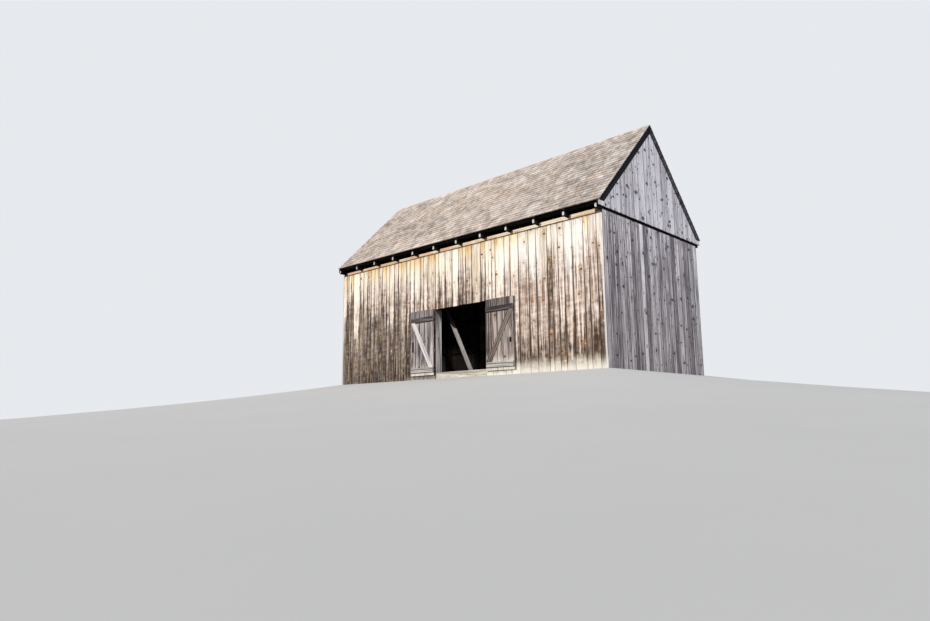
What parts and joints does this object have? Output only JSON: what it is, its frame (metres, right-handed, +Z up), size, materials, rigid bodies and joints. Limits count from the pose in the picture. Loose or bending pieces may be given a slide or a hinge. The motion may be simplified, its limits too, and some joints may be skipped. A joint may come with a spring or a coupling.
{
  "type": "weathered timber tobacco barn",
  "caption": "Long gabled timber barn with vertical board walls, projecting tie joists, a wood shingle roof and a wagon doorway with two hinged leaves in its long front.",
  "frame": {"origin": "on the ground under the middle of the barn", "axes": "+X along the front towards the right end, +Y from the front to the back, +Z up"},
  "size_m": [13.568, 7.12, 8.7549],
  "materials": {
    "frame_timber": "weathered hewn timber, matt",
    "front_boards": "unpainted sawn boards, honey brown under the eave, greyer lower down",
    "back_boards": "unpainted sawn boards, grey brown",
    "end_boards": "unpainted sawn boards, silver grey",
    "gable_boards": "unpainted sawn boards, pale silver grey",
    "rake_boards": "blackened old wood, matt",
    "shingles": "split wood shingles, weathered light brown grey",
    "lathing": "dark sheltered wood, matt",
    "wall_plates": "sheltered timber, orange brown",
    "tie_joists": "hewn timber with pale end grain",
    "door_boards": "unpainted boards, grey",
    "door_braces": "unpainted board, pale grey",
    "hinge_iron": "blacksmith's iron with a thin rust, matt"
  },
  "bodies": {
    "barn": {"front_sill": "frame_timber", "back_sill": "frame_timber", "end_sills": "frame_timber", "cross_sills": "frame_timber", "corner_posts": "frame_timber", "door_posts": "frame_timber", "front_posts": "frame_timber", "back_posts": "frame_timber", "end_posts": "frame_timber", "front_girts": "frame_timber", "back_girts": "frame_timber", "end_girts": "frame_timber", "door_header": "frame_timber", "raking_braces": "frame_timber", "wall_plates": "wall_plates", "tie_joists": "tie_joists", "false_plates": "frame_timber", "front_rafters": "frame_timber", "back_rafters": "frame_timber", "collar_ties": "frame_timber", "gable_rails": "frame_timber", "front_lathing": "lathing", "back_lathing": "lathing", "front_shingles": "shingles", "back_shingles": "shingles", "front_left_boards": "front_boards", "front_right_boards": "front_boards", "over_door_boards": "front_boards", "back_boards": "back_boards", "left_end_boards": "end_boards", "right_end_boards": "end_boards", "left_gable_boards": "gable_boards", "right_gable_boards": "gable_boards", "left_rake_boards": "rake_boards", "right_rake_boards": "rake_boards", "left_door_pintles": "hinge_iron", "right_door_pintles": "hinge_iron"},
    "left_door": {"left_door_boards": "door_boards", "left_door_battens": "door_boards", "left_door_brace": "door_braces", "left_door_straps": "hinge_iron"},
    "right_door": {"right_door_boards": "door_boards", "right_door_battens": "door_boards", "right_door_brace": "door_braces", "right_door_straps": "hinge_iron"}
  },
  "joints": [
    {"name": "left_door_hinge", "type": "hinge", "parent": "barn", "child": "left_door", "pos_m": [-0.76, -3.3395, 0], "axis": [0, 0, 1], "range_deg": [0, 180]},
    {"name": "right_door_hinge", "type": "hinge", "parent": "barn", "child": "right_door", "pos_m": [1.855, -3.3395, 0], "axis": [0, 0, -1], "range_deg": [0, 180]}
  ]
}
